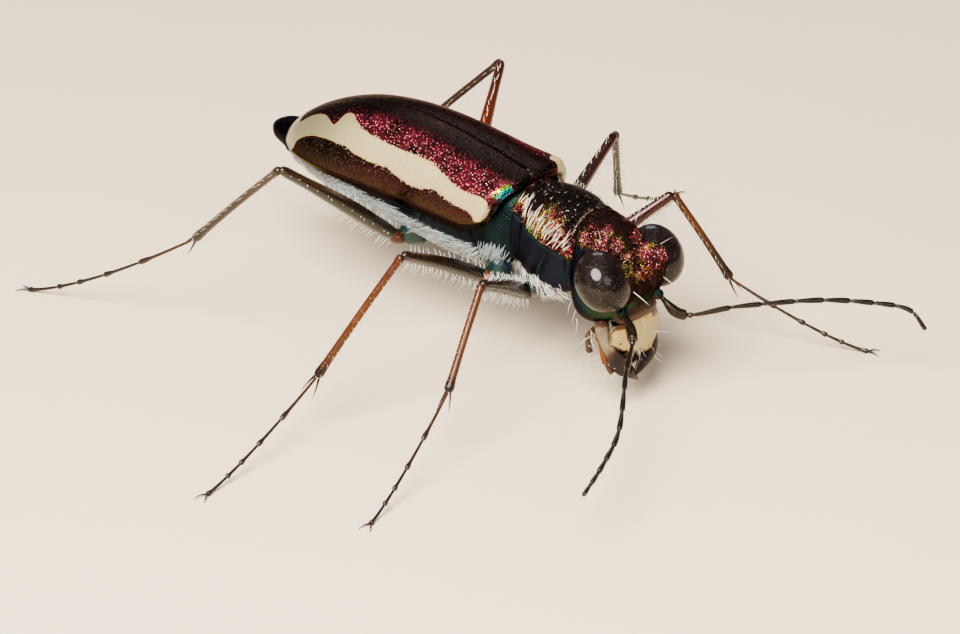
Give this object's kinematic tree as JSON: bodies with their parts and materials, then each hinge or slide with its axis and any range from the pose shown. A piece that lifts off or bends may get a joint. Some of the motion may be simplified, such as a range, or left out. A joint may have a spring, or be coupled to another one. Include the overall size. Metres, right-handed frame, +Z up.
{
  "type": "tiger beetle",
  "caption": "Still life-size tiger beetle standing with spread legs and feelers, dark crimson wing cases with an ivory band, jaws pointing down.",
  "frame": {"origin": "on the floor, at the middle of the space the beetle takes up, below the wing cases", "axes": "+Z up, +Y from the head towards the tail, +X to the beetle's left"},
  "size_m": [0.0188, 0.0196, 0.0055],
  "materials": {
    "wing_case": "dark crimson metallic cuticle, finely pitted, with an ivory band",
    "pronotum_shell": "coppery black wrinkled cuticle with white bristles",
    "head_shell": "coppery crimson cuticle, green on the cheeks, finely scored",
    "eye_lens": "dark purplish brown compound eye",
    "upper_lip": "ivory",
    "jaw": "ivory base, dark brown toothed tip",
    "palp": "orange brown, darker tip",
    "feeler": "dark bronze, dull brown towards the tip",
    "thorax_flank": "teal and blue-black cuticle under silver bristles",
    "abdomen_plates": "blue-black cuticle under silver bristles",
    "hip": "dark cuticle with white bristles",
    "thigh": "dark bronze cuticle with rows of white bristles",
    "shin": "rust orange cuticle with short spines",
    "foot": "dark brown cuticle"
  },
  "bodies": {
    "root": {"abdomen": "abdomen_plates", "antenna_left_base": "feeler", "antenna_left_middle": "feeler", "antenna_left_scape": "feeler", "antenna_left_tip": "feeler", "antenna_right_base": "feeler", "antenna_right_middle": "feeler", "antenna_right_scape": "feeler", "antenna_right_tip": "feeler", "coxa_front_left": "hip", "coxa_front_right": "hip", "coxa_hind_left": "hip", "coxa_hind_right": "hip", "coxa_middle_left": "hip", "coxa_middle_right": "hip", "elytron_left": "wing_case", "elytron_right": "wing_case", "eye_left": "eye_lens", "eye_right": "eye_lens", "femur_front_left": "thigh", "femur_front_right": "thigh", "femur_hind_left": "thigh", "femur_hind_right": "thigh", "femur_middle_left": "thigh", "femur_middle_right": "thigh", "head": "head_shell", "labrum": "upper_lip", "mandible_left": "jaw", "mandible_right": "jaw", "palp_left": "palp", "palp_right": "palp", "pronotum": "pronotum_shell", "tarsus_front_left": "foot", "tarsus_front_right": "foot", "tarsus_hind_left": "foot", "tarsus_hind_right": "foot", "tarsus_middle_left": "foot", "tarsus_middle_right": "foot", "thorax": "thorax_flank", "tibia_front_left": "shin", "tibia_front_right": "shin", "tibia_hind_left": "shin", "tibia_hind_right": "shin", "tibia_middle_left": "shin", "tibia_middle_right": "shin"}
  },
  "joints": []
}
